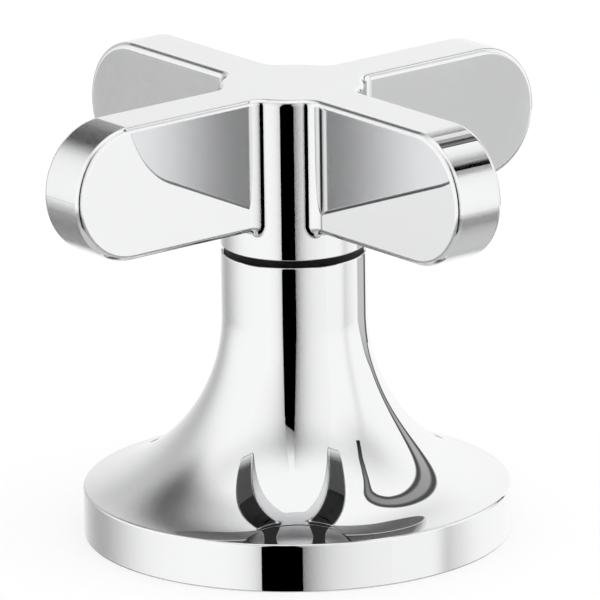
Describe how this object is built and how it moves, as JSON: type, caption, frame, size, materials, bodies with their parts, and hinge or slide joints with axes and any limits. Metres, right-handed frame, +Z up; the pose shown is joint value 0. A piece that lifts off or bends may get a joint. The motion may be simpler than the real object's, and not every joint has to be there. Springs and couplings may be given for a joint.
{
  "type": "tap handle",
  "caption": "Cross-shaped tap handle with flat, round-ended arms that turns on a trumpet-shaped base and takes a splined valve stem.",
  "frame": {"origin": "middle of the base's foot, on the deck", "axes": "+Z up the valve's spindle; the arms lie along X and Y at rest"},
  "size_m": [0.0734, 0.0734, 0.0584],
  "materials": {
    "chrome": "polished",
    "brass": "machined",
    "acetal": "matte",
    "rubber": "matte",
    "stainless": "machined"
  },
  "bodies": {
    "base": {"handle_base": "chrome", "base_gasket": "rubber", "threaded_insert": "brass", "glide_ring": "acetal"},
    "handle": {"cross_handle": "chrome", "stem_adapter": "brass", "adapter_screw": "stainless", "set_screw": "stainless"}
  },
  "joints": [
    {"name": "handle_turn", "type": "hinge", "parent": "base", "child": "handle", "pos_m": [0, 0, 0.0377], "axis": [0, 0, 1], "range_deg": [0, 90]}
  ]
}
